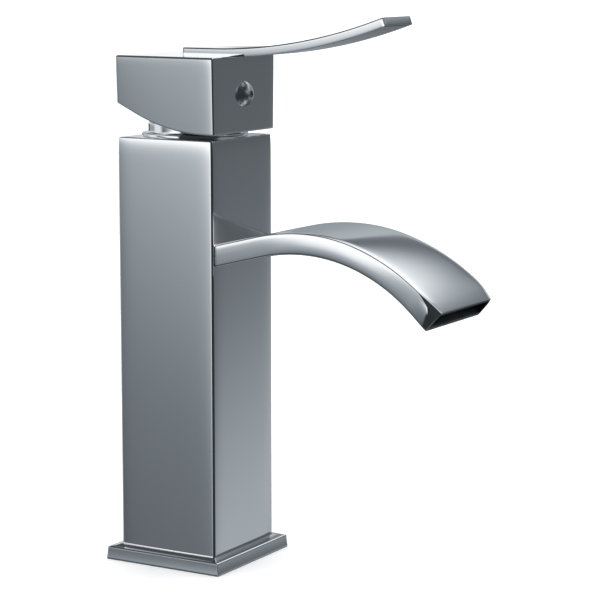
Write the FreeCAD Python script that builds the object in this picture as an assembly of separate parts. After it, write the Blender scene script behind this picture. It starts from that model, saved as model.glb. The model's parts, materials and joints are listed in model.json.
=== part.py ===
import FreeCAD, Part
import math
import os

# Single-lever basin faucet. Millimetres. Origin on the column axis at the deck
# face, +Z up, +X the way the spout and the lever point.

# ---- driving dimensions -------------------------------------------------------
COLUMN_W = 45.0            # square column, across the flats
COLUMN_EDGE_R = 1.0        # rounding of its upright edges
COLUMN_TOP_R = 1.2         # rounding of its top edges
COLUMN_Z0 = 6.0            # shoulder on the foot plate
COLUMN_Z1 = 172.0          # top of the column
SPIGOT_W = 41.0            # square spigot inside the foot plate
SPIGOT_Z0 = 0.5
CAVITY_W = 37.0            # hose cavity inside the column
CAVITY_Z1 = 104.0
RIB_HALF = 6.0             # bridge across the cavity that takes the fixing stud
RIB_Z1 = 20.0
STUD_R = 3.4               # M8 tapping hole
STUD_DEPTH = 16.0
INLET_Y = 11.0             # two hose inlets, M10 x 1
INLET_R = 4.5              # M10 x 1 tapping hole
INLET_DEPTH = 14.0

BASE_W = 54.0              # square foot plate
BASE_H = 5.5
BASE_TOP_R = 0.8
BASE_LIP_W = 47.2          # thin lip round the column
GASKET_OUT, GASKET_IN, GASKET_H = 50.0, 45.0, 1.5

SEAT_Z = 134.0             # cartridge seat
BORE_R = 17.9              # cartridge bore
NUT_R = 19.0               # thread of the lock nut
NUT_Z0 = 163.0
PORT_Y = 7.0               # inlet ports of the cartridge
PORT_R = 2.5
OUT_X = 9.5                # outlet port of the cartridge
OUT_R = 3.0
PEG_X, PEG_Y, PEG_R = -11.0, 5.0, 1.5

PIVOT_Z = 168.0            # height of the lever's tipping axis
LIFT = 24.0                # lever lift from closed to fully open
LEAN = LIFT / 2            # the spindle leans forward by this when closed
BALL_ARM = 12.0            # pivot to ball
DISC_SHIFT = BALL_ARM * math.sin(math.radians(LEAN))

SPOUT_CX, SPOUT_CZ = 62.0, 56.8   # centre of the spout's arch
SPOUT_R = 82.0             # top face radius
SPOUT_T = 8.6              # thickness at the root
SPOUT_GROW = 1.74          # the lower face's arc is tighter by this, so it thickens to the mouth
SPOUT_WALL = 1.3
SPOUT_RAMP = 14.1          # straight ramp at the root, degrees
SPOUT_END = 47.0           # end of the arch, degrees
SPOUT_LEAD = 2.0           # the lower lip runs on by this, degrees
SPOUT_HW0, SPOUT_HW1 = 21.4, 23.2   # half widths at root and mouth
SPOUT_TIP_X = 122.0
SPOUT_LOW_R = 1.5          # rounding of the lower long edges
SPOUT_TOP_R = 0.6
TONGUE_X = 18.0            # tongue brazed into the column's slot
TONGUE_HW = 17.0
TONGUE_Z0, TONGUE_Z1 = 123.15, 130.55

BLOCK_W = 46.6             # across its front face
BLOCK_TAPER = 1.25         # sides close in towards the rear, degrees
BLOCK_Z0, BLOCK_Z1 = 174.2, 204.2
BLOCK_REAR_Z = 185.8       # where the slanted underside meets the rear face
BLOCK_SLANT = 24.7
BLOCK_CURVE_R = 80.0
BLOCK_EDGE_R = 0.8
BLOCK_HOLLOW_R = 21.5      # hollow that clears the trim ring
BLOCK_ROOF_Z = 186.0

LEVER_W = 22.0
LEVER_T = 3.5
LEVER_TOP = 207.4
LEVER_X0, LEVER_X1 = 1.4, 16.0
LEVER_R = 220.0
LEVER_END = 19.9
LEVER_EDGE_R = 0.4
LEVER_SCREW_X, LEVER_SCREW_Y = 14.0, 7.2

SCREW_Z = 189.2            # handle screw, M6 with a domed head
SCREW_HEAD_R, SCREW_HEAD_H = 5.2, 3.4
SCREW_HEX = 2.5

RING_FLANGE_R = 21.2
RING_FLANGE_Z = 173.6
RING_NECK_R = 18.65
RING_SHOULDER_Z = 177.2
RING_TOP_Z = 182.0         # top of the ring's dome
RING_HOLE_R = 9.2          # hole in the dome for the spindle

V = FreeCAD.Vector
os.makedirs("parts", exist_ok=True)
volumes = {}


def box(x0, x1, y0, y1, z0, z1):
    return Part.makeBox(x1 - x0, y1 - y0, z1 - z0, V(x0, y0, z0))


def cyl(r, z0, z1, x=0.0, y=0.0):
    return Part.makeCylinder(r, z1 - z0, V(x, y, z0), V(0, 0, 1))


def rod(r, p, q):
    p, q = V(*p), V(*q)
    return Part.makeCylinder(r, (q - p).Length, p, q - p)


def tube(r_in, r_out, z0, z1, x=0.0, y=0.0):
    return cyl(r_out, z0, z1, x, y).cut(cyl(r_in, z0 - 1, z1 + 1, x, y))


def upright(edge):
    d = edge.Vertexes[-1].Point - edge.Vertexes[0].Point
    return abs(d.x) < 1e-6 and abs(d.y) < 1e-6 and abs(d.z) > 1e-6


def prism(half, r, z0, z1):
    """Square prism about the axis with rounded upright edges."""
    s = box(-half, half, -half, half, z0, z1)
    return s.makeFillet(r, [e for e in s.Edges if upright(e)])


def at_height(shape, z):
    return [
        e
        for e in shape.Edges
        if all(abs(v.Point.z - z) < 1e-6 for v in e.Vertexes)
    ]


def seg(a, b):
    return Part.LineSegment(V(*a), V(*b)).toShape()


def arc(a, m, b):
    return Part.Arc(V(*a), V(*m), V(*b)).toShape()


def sheet(edges):
    return Part.Face(Part.Wire(edges))


def turned(points):
    """Solid of revolution about the axis from (radius, height) points."""
    w = Part.makePolygon([V(r, 0, z) for r, z in points + points[:1]])
    return Part.Face(w).revolve(V(0, 0, 0), V(0, 0, 1), 360)


def save(name, shape):
    solids = shape.Solids
    out = solids[0] if len(solids) == 1 else Part.makeCompound(solids)
    assert solids and all(s.isValid() and s.isClosed() for s in solids), name
    out.exportStep("parts/" + name + ".step")
    volumes[name] = (len(solids), sum(s.Volume for s in solids))
    return out


# ---- spout: side profile ------------------------------------------------------
RAMP_T = math.radians(SPOUT_RAMP)
LOW_CX = SPOUT_CX - SPOUT_GROW * math.sin(RAMP_T)
LOW_CZ = SPOUT_CZ + SPOUT_GROW * math.cos(RAMP_T)
LOW_R = SPOUT_R - SPOUT_T - SPOUT_GROW


def spout_point(radius, deg):
    t = math.radians(deg)
    return (SPOUT_CX + radius * math.sin(t), 0.0, SPOUT_CZ + radius * math.cos(t))


def spout_low(inset, deg):
    """Point on the lower face's arc, or this far above it."""
    t = math.radians(deg)
    r = LOW_R + inset
    return (LOW_CX + r * math.sin(t), 0.0, LOW_CZ + r * math.cos(t))


def spout_ramp(p, x):
    """Point at x on the straight ramp that ends at p."""
    return (x, 0.0, p[2] - (p[0] - x) * math.tan(RAMP_T))


def spout_sheet(in_top, in_low, x_root, deg_end):
    mid = (deg_end - SPOUT_RAMP) / 2
    r_top = SPOUT_R - in_top
    b, c = spout_point(r_top, -SPOUT_RAMP), spout_point(r_top, deg_end)
    d, e = spout_low(in_low, deg_end + SPOUT_LEAD), spout_low(in_low, -SPOUT_RAMP)
    a, f = spout_ramp(b, x_root), spout_ramp(e, x_root)
    return sheet(
        [
            seg(a, b),
            arc(b, spout_point(r_top, mid), c),
            seg(c, d),
            arc(d, spout_low(in_low, mid), e),
            seg(e, f),
            seg(f, a),
        ]
    )


def spout_half(x):
    k = (x - COLUMN_W / 2) / (SPOUT_TIP_X - COLUMN_W / 2)
    return SPOUT_HW0 + k * (SPOUT_HW1 - SPOUT_HW0)


def spout_plan(inset, x0, x1):
    h0, h1 = spout_half(x0) - inset, spout_half(x1) - inset
    w = Part.makePolygon(
        [V(x0, -h0, 90), V(x1, -h1, 90), V(x1, h1, 90), V(x0, h0, 90), V(x0, -h0, 90)]
    )
    return Part.Face(w).extrude(V(0, 0, 60))


def across(face, half):
    s = face.extrude(V(0, 2 * half, 0))
    s.translate(V(0, -half, 0))
    return s


FRONT = COLUMN_W / 2
shell = across(spout_sheet(0, 0, FRONT, SPOUT_END), 30).common(spout_plan(0, FRONT, 130))


def long_edges(shape, centre, radius):
    """The two long edges, on the top or the lower face of the spout."""
    end = (centre[0] - radius * math.sin(RAMP_T), 0.0, centre[1] + radius * math.cos(RAMP_T))
    found = []
    for e in shape.Edges:
        pts = e.discretize(7)
        ok = e.Length > 10
        for p in pts:
            if abs(abs(p.y) - spout_half(p.x)) > 1e-3:
                ok = False
            elif p.x < end[0] - 1e-6:
                ok = ok and abs(p.z - spout_ramp(end, p.x)[2]) < 1e-3
            else:
                ok = ok and abs(math.hypot(p.x - centre[0], p.z - centre[1]) - radius) < 1e-3
        if ok:
            found.append(e)
    return found


shell = shell.makeFillet(SPOUT_LOW_R, long_edges(shell, (LOW_CX, LOW_CZ), LOW_R))
shell = shell.makeFillet(SPOUT_TOP_R, long_edges(shell, (SPOUT_CX, SPOUT_CZ), SPOUT_R))
duct = across(spout_sheet(SPOUT_WALL, SPOUT_WALL, FRONT - 1, SPOUT_END + 3), 30).common(
    spout_plan(SPOUT_WALL, FRONT - 1, 130)
)
tongue = box(TONGUE_X, FRONT + 0.2, -TONGUE_HW, TONGUE_HW, TONGUE_Z0, TONGUE_Z1)
tongue_in = box(
    TONGUE_X - 1, FRONT + 1.0, -TONGUE_HW + 1, TONGUE_HW - 1, TONGUE_Z0 + 1, TONGUE_Z1 - 1
)
spout = shell.fuse(tongue).cut(duct.fuse(tongue_in)).removeSplitter()
save("spout", spout)

# ---- flow straightener, a comb of vanes set back inside the mouth --------------
comb = across(spout_sheet(SPOUT_WALL + 0.05, SPOUT_WALL + 0.05, FRONT, SPOUT_END - 9), 30)
comb = comb.common(spout_plan(SPOUT_WALL + 0.05, FRONT, 130))
keep = across(
    sheet(
        [
            seg(spout_point(60, SPOUT_END - 14), spout_point(95, SPOUT_END - 14)),
            seg(spout_point(95, SPOUT_END - 14), spout_point(95, SPOUT_END - 8)),
            seg(spout_point(95, SPOUT_END - 8), spout_point(60, SPOUT_END - 8)),
            seg(spout_point(60, SPOUT_END - 8), spout_point(60, SPOUT_END - 14)),
        ]
    ),
    30,
)
comb = comb.common(keep)
SLOTS, SLOT_W = 9, 3.4
for i in range(SLOTS):
    y = (i - (SLOTS - 1) / 2) * 4.4
    cut = across(spout_sheet(SPOUT_WALL + 0.95, SPOUT_WALL + 0.95, FRONT, SPOUT_END), SLOT_W / 2)
    cut.translate(V(0, y, 0))
    comb = comb.cut(cut)
save("flow_straightener", comb.removeSplitter())

# ---- column --------------------------------------------------------------------
H = COLUMN_W / 2
outer = prism(H, COLUMN_EDGE_R, COLUMN_Z0, COLUMN_Z1)
outer = outer.makeFillet(COLUMN_TOP_R, at_height(outer, COLUMN_Z1))
column = outer.fuse(prism(SPIGOT_W / 2, 3.0, SPIGOT_Z0, COLUMN_Z0 + 1))
column = column.cut(prism(CAVITY_W / 2, 3.0, SPIGOT_Z0 - 1, CAVITY_Z1))
rib = box(-CAVITY_W / 2 - 1, CAVITY_W / 2 + 1, -RIB_HALF, RIB_HALF, SPIGOT_Z0, RIB_Z1)
column = column.fuse(rib)
column = column.cut(cyl(STUD_R, SPIGOT_Z0 - 1, SPIGOT_Z0 + STUD_DEPTH))
column = column.cut(cyl(BORE_R, SEAT_Z, COLUMN_Z1 + 1))
column = column.cut(cyl(NUT_R, NUT_Z0, COLUMN_Z1 + 1))
for s in (-1, 1):
    column = column.cut(
        cyl(INLET_R, CAVITY_Z1 - 1, CAVITY_Z1 + INLET_DEPTH, 0, s * INLET_Y)
    )
    column = column.cut(
        rod(
            PORT_R,
            (0, s * 10.0, CAVITY_Z1 + INLET_DEPTH - 1.5),
            (0, s * (PORT_Y - 0.2), SEAT_Z + 1),
        )
    )
    column = column.cut(cyl(PEG_R + 0.1, SEAT_Z - 4, SEAT_Z + 1, PEG_X, s * PEG_Y))
column = column.cut(cyl(OUT_R, TONGUE_Z0 + 2, SEAT_Z + 1, OUT_X, 0))
column = column.cut(box(6, FRONT + 1, -12, 12, TONGUE_Z0 + 0.85, TONGUE_Z1 - 0.85))
column = column.cut(
    box(
        TONGUE_X - 0.05,
        FRONT + 1,
        -TONGUE_HW - 0.05,
        TONGUE_HW + 0.05,
        TONGUE_Z0 - 0.05,
        TONGUE_Z1 + 0.05,
    )
)
column = column.removeSplitter()
save("column_body", column)

# ---- foot plate and gasket -------------------------------------------------------
B = BASE_W / 2
plate = prism(B, 1.0, 0, BASE_H)
plate = plate.makeFillet(BASE_TOP_R, at_height(plate, BASE_H))
lip = box(-BASE_LIP_W / 2, BASE_LIP_W / 2, -BASE_LIP_W / 2, BASE_LIP_W / 2, BASE_H - 1, COLUMN_Z0)
lip = lip.makeChamfer(0.35, at_height(lip, COLUMN_Z0))
plate = plate.fuse(lip)
plate = plate.cut(prism(SPIGOT_W / 2 + 0.05, 3.0, -1, COLUMN_Z0 + 1))
groove = prism(GASKET_OUT / 2, 1.5, -1, GASKET_H).cut(
    prism(GASKET_IN / 2, 1.5, -2, GASKET_H + 1)
)
plate = plate.cut(groove).removeSplitter()
save("base_plate", plate)
gasket = prism(GASKET_OUT / 2 - 0.05, 1.5, 0, GASKET_H - 0.02).cut(
    prism(GASKET_IN / 2 + 0.05, 1.5, -1, GASKET_H + 1)
)
save("base_gasket", gasket)

# ---- cartridge -------------------------------------------------------------------
PORTS = [(0.0, PORT_Y), (0.0, -PORT_Y), (OUT_X, 0.0)]
SEAL_IN, SEAL_OUT, SEAL_H = 3.2, 4.5, 2.0
base = cyl(17.4, SEAT_Z + 0.3, 137.0).fuse(cyl(15.7, 136.9, 141.0))
for s in (-1, 1):
    base = base.fuse(cyl(PEG_R, SEAT_Z - 3, SEAT_Z + 1, PEG_X, s * PEG_Y))
for x, y in PORTS:
    base = base.cut(cyl(2.6, 130, 145, x, y))
    base = base.cut(tube(SEAL_IN - 0.05, SEAL_OUT + 0.05, SEAT_Z, SEAT_Z + SEAL_H + 0.02, x, y))
    base = base.cut(tube(SEAL_IN - 0.05, SEAL_OUT + 0.05, 141 - SEAL_H - 0.02, 142, x, y))
save("cartridge_base", base.removeSplitter())
seals = []
for x, y in PORTS:
    seals.append(tube(SEAL_IN, SEAL_OUT, SEAT_Z, SEAT_Z + SEAL_H, x, y))
    seals.append(tube(SEAL_IN, SEAL_OUT, 141 - SEAL_H, 141, x, y))
save("port_seals", Part.makeCompound(seals))

HOUSING_IN, NECK_OUT, NECK_IN = 15.8, 14.3, 12.06
housing = cyl(17.5, 137.0, NUT_Z0).fuse(cyl(NECK_OUT, NUT_Z0 - 0.5, 176.0))
housing = housing.cut(cyl(HOUSING_IN, 136, 158.8)).cut(cyl(NECK_IN, 150, 177))
save("cartridge_housing", housing.removeSplitter())

fixed = cyl(15.4, 141.0, 145.0)
for x, y in PORTS:
    fixed = fixed.cut(cyl(2.5 if x == 0 else 3.0, 140, 146, x, y))
for s in (-1, 1):
    fixed = fixed.cut(box(-16.5, -13.6, s * 4 - 1.2, s * 4 + 1.2, 140, 146))
save("fixed_disc", fixed)

save("glide_ring", tube(12.3, 15.6, 158.0, 158.8))

# The moving disc and its carrier stand half a travel behind the axis when closed.
dx = -DISC_SHIFT
moving = cyl(12.6, 145.05, 149.0, dx, 0)
pocket = box(dx - 5.3, dx - 0.35, -9.6, 9.6, 145.0, 147.4).fuse(
    box(dx - 5.3, dx + 8.6, -3.0, 3.0, 145.0, 147.4)
)
moving = moving.cut(pocket)
for s in (-1, 1):
    moving = moving.cut(box(dx - 2, dx + 2, s * 11.6 - 1.4, s * 11.6 + 1.4, 147.5, 150))
save("moving_disc", moving)
carrier = cyl(12.4, 149.0, 151.5, dx, 0).fuse(box(dx - 7, dx + 7, -6, 6, 151.4, 158.6))
for s in (-1, 1):
    lug = box(dx - 1.9, dx + 1.9, s * 11.6 - 1.3, s * 11.6 + 1.3, 147.6, 149.2)
    carrier = carrier.fuse(lug.common(cyl(12.4, 140, 160, dx, 0)))
carrier = carrier.cut(cyl(3.85, 152.0, 160, dx, 0))
save("disc_carrier", carrier.removeSplitter())

rotor = cyl(14.9, 152.0, 157.85).fuse(cyl(12.0, 157.0, 175.5))
rotor = rotor.cut(box(-10.2, 10.2, -6.3, 6.3, 151, 159.2))
rotor = rotor.cut(box(-7.2, 7.2, -4.4, 4.4, 150, 177))
rotor = rotor.cut(rod(1.51, (0, -20, PIVOT_Z), (0, 20, PIVOT_Z)))
save("cartridge_rotor", rotor.removeSplitter())
save("pivot_pin", rod(1.5, (0, -11.4, PIVOT_Z), (0, 11.4, PIVOT_Z)))
limit = cyl(11.7, 175.5, 177.3).cut(box(-7.2, 7.2, -4.6, 4.6, 175, 178))
limit = limit.fuse(box(10.6, 12.9, -2.0, 2.0, 176.4, 177.3))
save("hot_limit_ring", limit.removeSplitter())

# Spindle, made upright about the pivot and then leaned forward.
stem = box(-4, 4, -4, 4, -8.5, 29.5)
stem = stem.makeChamfer(0.6, [e for e in stem.Edges if upright(e)])
stem = stem.makeChamfer(0.8, at_height(stem, 29.5))
stem = stem.fuse(cyl(2.4, -BALL_ARM, -8.0)).fuse(Part.makeSphere(3.5, V(0, 0, -BALL_ARM)))
stem = stem.cut(rod(1.56, (0, -10, 0), (0, 10, 0))).removeSplitter()


def lean(shape):
    s = shape.copy()
    s.rotate(V(0, 0, 0), V(0, 1, 0), LEAN)
    s.translate(V(0, 0, PIVOT_Z))
    return s


save("spindle", lean(stem))

# ---- lock nut and trim ring ----------------------------------------------------
nut = tube(14.45, NUT_R - 0.05, NUT_Z0, COLUMN_Z1).fuse(tube(14.45, 16.8, COLUMN_Z1 - 0.5, 174.5))
for k in range(4):
    slot = box(12, 18, -2.5, 2.5, 172.3, 175)
    slot.rotate(V(0, 0, 0), V(0, 0, 1), 45 + 90 * k)
    nut = nut.cut(slot)
save("cartridge_locknut", nut.removeSplitter())

f0, f1, fr = COLUMN_Z1, RING_FLANGE_Z, 0.6
k = math.sqrt(0.5)
ring_edges = [
    seg((17.0, 0, f0), (RING_FLANGE_R - fr, 0, f0)),
    arc(
        (RING_FLANGE_R - fr, 0, f0),
        (RING_FLANGE_R - fr + fr * k, 0, f0 + fr - fr * k),
        (RING_FLANGE_R, 0, f0 + fr),
    ),
    seg((RING_FLANGE_R, 0, f0 + fr), (RING_FLANGE_R, 0, f1 - fr)),
    arc(
        (RING_FLANGE_R, 0, f1 - fr),
        (RING_FLANGE_R - fr + fr * k, 0, f1 - fr + fr * k),
        (RING_FLANGE_R - fr, 0, f1),
    ),
    seg((RING_FLANGE_R - fr, 0, f1), (RING_NECK_R, 0, f1)),
    seg((RING_NECK_R, 0, f1), (RING_NECK_R, 0, RING_SHOULDER_Z)),
    arc((RING_NECK_R, 0, RING_SHOULDER_Z), (15.0, 0, 180.1), (RING_HOLE_R, 0, RING_TOP_Z)),
    seg((RING_HOLE_R, 0, RING_TOP_Z), (RING_HOLE_R, 0, RING_TOP_Z - 1.2)),
    arc((RING_HOLE_R, 0, RING_TOP_Z - 1.2), (14.1, 0, 179.1), (17.0, 0, 177.0)),
    seg((17.0, 0, 177.0), (17.0, 0, f0)),
]
ring = sheet(ring_edges).revolve(V(0, 0, 0), V(0, 0, 1), 360)
ring = ring.cut(tube(19.3, 20.3, f0 - 1, f0 + 0.9))
save("trim_ring", ring)
save("trim_ring_seal", tube(19.35, 20.25, f0, f0 + 0.85))

# ---- handle block ----------------------------------------------------------------
K = BLOCK_W / 2
slant = math.radians(BLOCK_SLANT)
meet_x = -K + (BLOCK_REAR_Z - BLOCK_Z0) / math.tan(slant)
t = BLOCK_CURVE_R * math.tan(slant / 2)
p1 = (meet_x - t * math.cos(slant), 0, BLOCK_Z0 + t * math.sin(slant))
p2 = (meet_x + t, 0, BLOCK_Z0)
pm = (
    p2[0] - BLOCK_CURVE_R * math.sin(slant / 2),
    0,
    BLOCK_Z0 + BLOCK_CURVE_R * (1 - math.cos(slant / 2)),
)
block = across(
    sheet(
        [
            seg((K, 0, BLOCK_Z0), (K, 0, BLOCK_Z1)),
            seg((K, 0, BLOCK_Z1), (-K, 0, BLOCK_Z1)),
            seg((-K, 0, BLOCK_Z1), (-K, 0, BLOCK_REAR_Z)),
            seg((-K, 0, BLOCK_REAR_Z), p1),
            arc(p1, pm, p2),
            seg(p2, (K, 0, BLOCK_Z0)),
        ]
    ),
    K,
)
lost = 2 * K * math.tan(math.radians(BLOCK_TAPER))
for s in (-1, 1):
    wedge = [V(K, s * K, 150), V(-K, s * (K - lost), 150), V(-K - 1, s * (K - lost), 150), V(-K - 1, s * (K + 1), 150), V(K, s * (K + 1), 150)]
    block = block.cut(Part.Face(Part.makePolygon(wedge + wedge[:1])).extrude(V(0, 0, 80)))
block = block.makeFillet(BLOCK_EDGE_R, [e for e in block.Edges if upright(e)])
block = block.makeFillet(BLOCK_EDGE_R, at_height(block, BLOCK_Z1))
hollow = Part.makeSphere(BLOCK_HOLLOW_R, V(0, 0, PIVOT_Z)).common(
    box(-30, 30, -30, 30, 140, BLOCK_ROOF_Z)
)
block = block.cut(hollow)
socket = box(-4.05, 4.05, -4.05, 4.05, 10, 29.8)
block = block.cut(lean(socket))
block = block.cut(rod(3.05, (0, 0, SCREW_Z), (K + 1, 0, SCREW_Z)))
lever_z0 = LEVER_TOP - LEVER_T
for s in (-1, 1):
    y = s * LEVER_SCREW_Y
    block = block.cut(cyl(3.7, PIVOT_Z + 8, 197.5, LEVER_SCREW_X, y))
    block = block.cut(cyl(2.15, 197, 210, LEVER_SCREW_X, y))
block = block.cut(
    box(LEVER_X0 - 0.05, K + 1, -LEVER_W / 2 - 0.05, LEVER_W / 2 + 0.05, lever_z0, 210)
)
save("handle_block", block.removeSplitter())

# ---- lever, its screws and the handle screw -------------------------------------
la = math.radians(LEVER_END)
lc = LEVER_TOP + LEVER_R


def lever_point(radius, a):
    return (LEVER_X1 + radius * math.sin(a), 0, lc - radius * math.cos(a))


R0, R1 = LEVER_R, LEVER_R + LEVER_T
lever = across(
    sheet(
        [
            seg((LEVER_X0, 0, LEVER_TOP), (LEVER_X1, 0, LEVER_TOP)),
            arc(lever_point(R0, 0), lever_point(R0, la / 2), lever_point(R0, la)),
            seg(lever_point(R0, la), lever_point(R1, la)),
            arc(lever_point(R1, la), lever_point(R1, la / 2), lever_point(R1, 0)),
            seg((LEVER_X1, 0, lever_z0), (LEVER_X0, 0, lever_z0)),
            seg((LEVER_X0, 0, lever_z0), (LEVER_X0, 0, LEVER_TOP)),
        ]
    ),
    LEVER_W / 2,
)
top_edges = [
    e
    for e in lever.Edges
    if all(
        abs(p.z - LEVER_TOP) < 1e-4
        if p.x <= LEVER_X1 + 1e-6
        else abs(math.hypot(p.x - LEVER_X1, p.z - lc) - LEVER_R) < 1e-4
        for p in e.discretize(5)
    )
    and e.Length > 5
    and abs(e.Vertexes[0].Point.y - e.Vertexes[-1].Point.y) < 1e-6
]
lever = lever.makeFillet(LEVER_EDGE_R, top_edges)
screws = []
for s in (-1, 1):
    x, y = LEVER_SCREW_X, s * LEVER_SCREW_Y
    lever = lever.cut(cyl(2.03, lever_z0 - 1, lever_z0 + 2.4, x, y))
    one = cyl(3.5, 193.5, 197.5, x, y).fuse(cyl(2.0, 197.4, lever_z0 + 2.3, x, y))
    hexa = Part.Face(
        Part.makePolygon(
            [
                V(x + 1.732 * math.cos(math.radians(60 * i)), y + 1.732 * math.sin(math.radians(60 * i)), 193)
                for i in range(7)
            ]
        )
    ).extrude(V(0, 0, 2.5))
    screws.append(one.cut(hexa).removeSplitter())
save("lever_blade", lever)
save("lever_screws", Part.makeCompound(screws))

dome_r = (SCREW_HEAD_R**2 + SCREW_HEAD_H**2) / (2 * SCREW_HEAD_H)
head = Part.makeSphere(dome_r, V(K + SCREW_HEAD_H - dome_r, 0, SCREW_Z)).common(
    rod(SCREW_HEAD_R + 1, (K, 0, SCREW_Z), (K + SCREW_HEAD_H + 1, 0, SCREW_Z))
)
shank = rod(3.0, (12.2, 0, SCREW_Z), (K + 0.2, 0, SCREW_Z)).fuse(
    Part.makeCone(1.0, 3.0, 3.2, V(9.0, 0, SCREW_Z), V(1, 0, 0))
)
socket = Part.Face(
    Part.makePolygon(
        [
            V(
                K + SCREW_HEAD_H - 2.0,
                SCREW_HEX / math.sqrt(3) * math.cos(math.radians(60 * i)),
                SCREW_Z + SCREW_HEX / math.sqrt(3) * math.sin(math.radians(60 * i)),
            )
            for i in range(7)
        ]
    )
).extrude(V(5, 0, 0))
save("handle_screw", head.fuse(shank).removeSplitter().cut(socket))

for name in sorted(volumes):
    print("%-20s solids %d volume %.1f mm3" % ((name,) + volumes[name]))
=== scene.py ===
import json
import math

import bmesh
import bpy
from mathutils import Matrix, Vector
from mathutils.geometry import tessellate_polygon


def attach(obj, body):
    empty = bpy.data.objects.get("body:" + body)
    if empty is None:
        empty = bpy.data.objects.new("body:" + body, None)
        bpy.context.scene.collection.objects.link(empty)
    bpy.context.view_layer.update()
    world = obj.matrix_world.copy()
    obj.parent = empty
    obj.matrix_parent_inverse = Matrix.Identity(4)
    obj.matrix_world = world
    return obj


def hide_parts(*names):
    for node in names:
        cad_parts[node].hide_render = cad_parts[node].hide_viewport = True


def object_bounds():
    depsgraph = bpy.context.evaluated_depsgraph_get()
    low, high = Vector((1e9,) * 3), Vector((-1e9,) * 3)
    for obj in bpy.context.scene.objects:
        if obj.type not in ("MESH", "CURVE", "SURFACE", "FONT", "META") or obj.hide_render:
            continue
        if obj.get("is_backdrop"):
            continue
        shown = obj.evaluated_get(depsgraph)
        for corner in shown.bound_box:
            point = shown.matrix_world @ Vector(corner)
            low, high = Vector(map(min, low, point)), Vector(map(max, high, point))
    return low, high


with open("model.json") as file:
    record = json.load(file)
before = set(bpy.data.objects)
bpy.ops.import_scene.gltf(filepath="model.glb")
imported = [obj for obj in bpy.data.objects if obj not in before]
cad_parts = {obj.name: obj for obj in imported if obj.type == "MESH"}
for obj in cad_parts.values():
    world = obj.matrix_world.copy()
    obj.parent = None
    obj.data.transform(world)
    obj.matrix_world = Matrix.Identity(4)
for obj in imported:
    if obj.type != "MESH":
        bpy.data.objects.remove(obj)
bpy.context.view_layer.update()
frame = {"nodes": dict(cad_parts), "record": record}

MM = 0.001
SCENE = bpy.context.scene


# ---- mesh helpers (all shapes are worked out in millimetres) -------------------
class Shape:
    """Vertices and faces gathered from lofts and caps, then made into one mesh."""

    def __init__(self):
        self.v, self.f, self.m = [], [], []

    def add(self, pts):
        n = len(self.v)
        self.v.extend(pts)
        return list(range(n, n + len(pts)))

    def face(self, idx, mat=0):
        self.f.append(idx)
        self.m.append(mat)

    def loft(self, loops, closed_path=False, mat=0):
        """Quads between successive closed loops of equal length."""
        rows = [self.add(l) for l in loops]
        pairs = list(zip(rows, rows[1:]))
        if closed_path:
            pairs.append((rows[-1], rows[0]))
        for a, b in pairs:
            n = len(a)
            for i in range(n):
                j = (i + 1) % n
                self.face((a[i], a[j], b[j], b[i]), mat)
        return rows

    def fan(self, row, centre, mat=0):
        c = self.add([centre])[0]
        n = len(row)
        for i in range(n):
            self.face((row[i], row[(i + 1) % n], c), mat)

    def plate(self, rows, mat=0):
        """Fills a flat outline with holes; rows are index lists."""
        polys = [[Vector(self.v[i]) for i in r] for r in rows]
        flat = [i for r in rows for i in r]
        for tri in tessellate_polygon(polys):
            self.face(tuple(flat[k] for k in tri), mat)

    def make(self, name, angle=32.0):
        me = bpy.data.meshes.new(name)
        me.from_pydata([[c * MM for c in p] for p in self.v], [], self.f)
        me.polygons.foreach_set("material_index", self.m)
        bm = bmesh.new()
        bm.from_mesh(me)
        bmesh.ops.remove_doubles(bm, verts=bm.verts, dist=2e-7)
        bmesh.ops.dissolve_degenerate(bm, edges=bm.edges, dist=2e-7)
        bmesh.ops.recalc_face_normals(bm, faces=bm.faces)
        bm.to_mesh(me)
        bm.free()
        me.shade_smooth()
        me.set_sharp_from_angle(angle=math.radians(angle))
        ob = bpy.data.objects.new(name, me)
        SCENE.collection.objects.link(ob)
        return ob


def spread(n, k=2.2):
    """n fractions from -1 to 1, closer together towards both ends."""
    out = []
    for i in range(n):
        u = -1 + 2 * i / (n - 1)
        out.append(math.copysign(1 - (1 - abs(u)) ** k, u))
    return out


FR = spread(41)
NC = 9


def square(h, r, z, edge=0.0, reach=1.0, crown=0.0, fr=FR, nc=NC):
    """Rounded square loop of half width h. edge and reach are the depth and the length
    of the soft roll-off before each upright edge, crown the bulge of each side."""
    tilt = edge / reach + 2 * crown / h
    al = math.atan(tilt)
    c = h - edge - crown - r * math.cos(al)
    ye = c + r * math.sin(al)
    side = []
    for t in fr:
        y = t * ye
        x = h - edge * math.exp(-(ye - abs(y)) / reach) - crown * (y / ye) ** 2
        side.append((x, y))
    for i in range(1, nc + 1):
        th = al + (math.pi / 2 - 2 * al) * i / (nc + 1)
        side.append((c + r * math.cos(th), c + r * math.sin(th)))
    pts = []
    for q in range(4):
        for x, y in side:
            for _ in range(q):
                x, y = -y, x
            pts.append((x, y))
    if callable(z):
        return [(x, y, z(x)) for x, y in pts]
    return [(x, y, z) for x, y in pts]


def round_loop(like, r, z):
    """Circle with one point for each point of another loop, at the same bearing."""
    out = []
    for x, y, _ in like:
        a = math.atan2(y, x)
        out.append((r * math.cos(a), r * math.sin(a), z))
    return out


def circle(r, z, n=48, x=0.0, y=0.0):
    return [
        (x + r * math.cos(2 * math.pi * i / n), y + r * math.sin(2 * math.pi * i / n), z)
        for i in range(n)
    ]


def steps(a, b, n):
    return [a + (b - a) * i / n for i in range(n + 1)]


def turn(profile, n=160):
    """Loops of a solid of revolution from (radius, height) points."""
    return [circle(r, z, n) for r, z in profile]


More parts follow.
